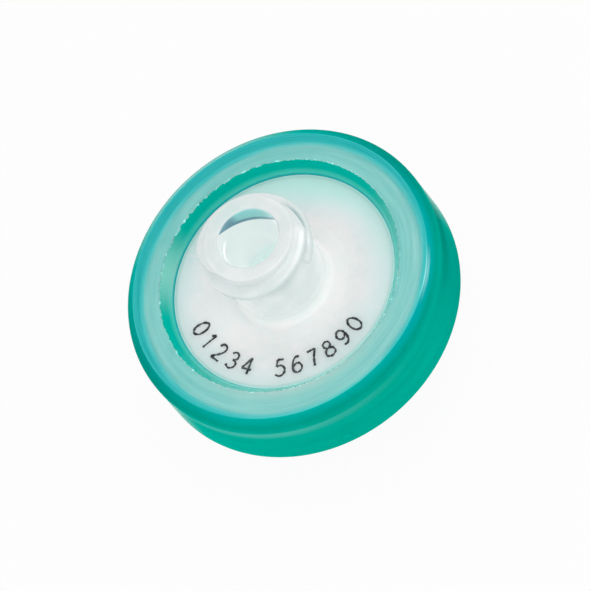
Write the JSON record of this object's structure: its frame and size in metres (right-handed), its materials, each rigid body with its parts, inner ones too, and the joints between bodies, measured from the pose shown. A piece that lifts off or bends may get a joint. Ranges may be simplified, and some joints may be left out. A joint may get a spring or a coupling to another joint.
{
  "type": "syringe filter",
  "caption": "Round disc filter for a syringe: white luer housing with a lock hub above and a slip tip below, held in a green moulded ring.",
  "frame": {"origin": "centre of the flat end of the outlet tip, on the axis; the part stands on it", "axes": "+Z along the axis from the outlet tip to the inlet hub; X and Y across the disc"},
  "size_m": [0.0224, 0.0224, 0.02],
  "materials": {
    "housing_natural": "satin natural polypropylene",
    "membrane_white": "matt",
    "ring_green": "semi-gloss translucent"
  },
  "bodies": {
    "root": {"inlet_shell": "housing_natural", "outlet_shell": "housing_natural", "membrane": "membrane_white", "sealing_ring": "ring_green"}
  },
  "joints": []
}
